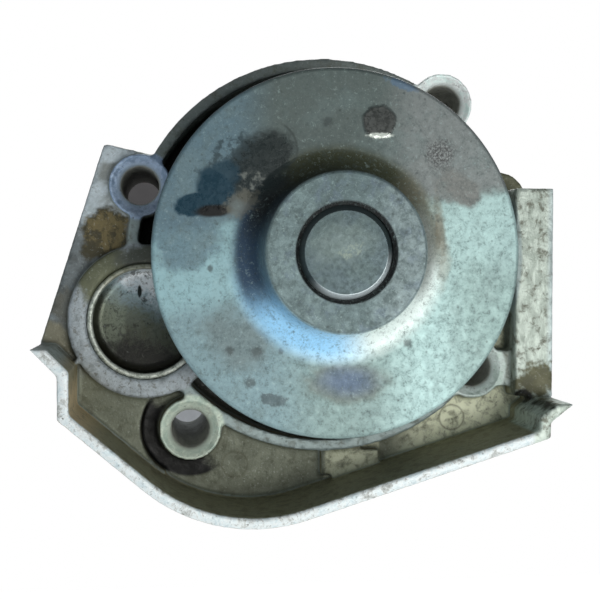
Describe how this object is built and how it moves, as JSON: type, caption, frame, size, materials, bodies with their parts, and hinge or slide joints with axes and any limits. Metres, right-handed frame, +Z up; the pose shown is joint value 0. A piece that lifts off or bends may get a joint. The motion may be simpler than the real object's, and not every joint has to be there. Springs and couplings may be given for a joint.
{
  "type": "water pump",
  "caption": "Belt-driven engine coolant pump: smooth flared pulley on a bearing shaft, cast housing with a skirt wall, core plug, shaft seal and vaned impeller.",
  "frame": {"origin": "on the shaft axis, in the plane of the rear mounting face", "axes": "Y is the shaft axis and -Y points from the mounting face to the pulley; +Z is up and +X is to the right, seen from the pulley side"},
  "size_m": [0.0979, 0.0679, 0.0863],
  "materials": {
    "cast_aluminium": "die-cast, oily and oxidised, machined rims",
    "core_plug_steel": "pressed steel cup with an oil film",
    "seal_rubber": "matt black elastomer",
    "bearing_steel": "ground and polished",
    "seal_steel": "pressed stainless sheet",
    "spring_steel": "drawn wire",
    "seal_carbon": "lapped carbon graphite",
    "shaft_steel": "ground, slightly tarnished",
    "pulley_steel": "pressed steel, blue-grey with heat and oil stains",
    "seal_ceramic": "lapped alumina",
    "impeller_plastic": "glass-filled moulding",
    "bush_brass": "turned",
    "cage_plastic": "glass-filled nylon"
  },
  "bodies": {
    "housing": {"pump_housing": "cast_aluminium", "core_plug": "core_plug_steel", "face_gasket": "seal_rubber", "bearing_outer_ring": "bearing_steel", "bearing_seal_front": "seal_rubber", "bearing_seal_rear": "seal_rubber", "seal_case": "seal_steel", "seal_carbon_ring": "seal_carbon", "seal_bellows": "seal_rubber", "spring_seat": "seal_steel", "seal_spring": "spring_steel"},
    "rotor": {"pump_shaft": "shaft_steel", "drive_pulley": "pulley_steel", "seal_mating_ring": "seal_ceramic", "mating_ring_cup": "seal_rubber", "seal_sleeve": "seal_steel", "impeller": "impeller_plastic", "impeller_bush": "bush_brass"},
    "ball_set": {"bearing_balls": "bearing_steel", "ball_cage": "cage_plastic"},
    "roller_set": {"bearing_rollers": "bearing_steel", "roller_cage": "cage_plastic"}
  },
  "joints": [
    {"name": "pump_spin", "type": "hinge", "parent": "housing", "child": "rotor", "pos_m": [0, -0.04, 0], "axis": [0, 1, 0], "continuous": true},
    {"name": "ball_set_spin", "type": "hinge", "parent": "housing", "child": "ball_set", "pos_m": [0, -0.046, 0], "axis": [0, 1, 0], "continuous": true},
    {"name": "roller_set_spin", "type": "hinge", "parent": "housing", "child": "roller_set", "pos_m": [0, -0.031, 0], "axis": [0, 1, 0], "continuous": true}
  ],
  "couplings": [
    {"joint": "ball_set_spin", "follows": "pump_spin", "ratio": 0.3696},
    {"joint": "roller_set_spin", "follows": "pump_spin", "ratio": 0.393}
  ]
}
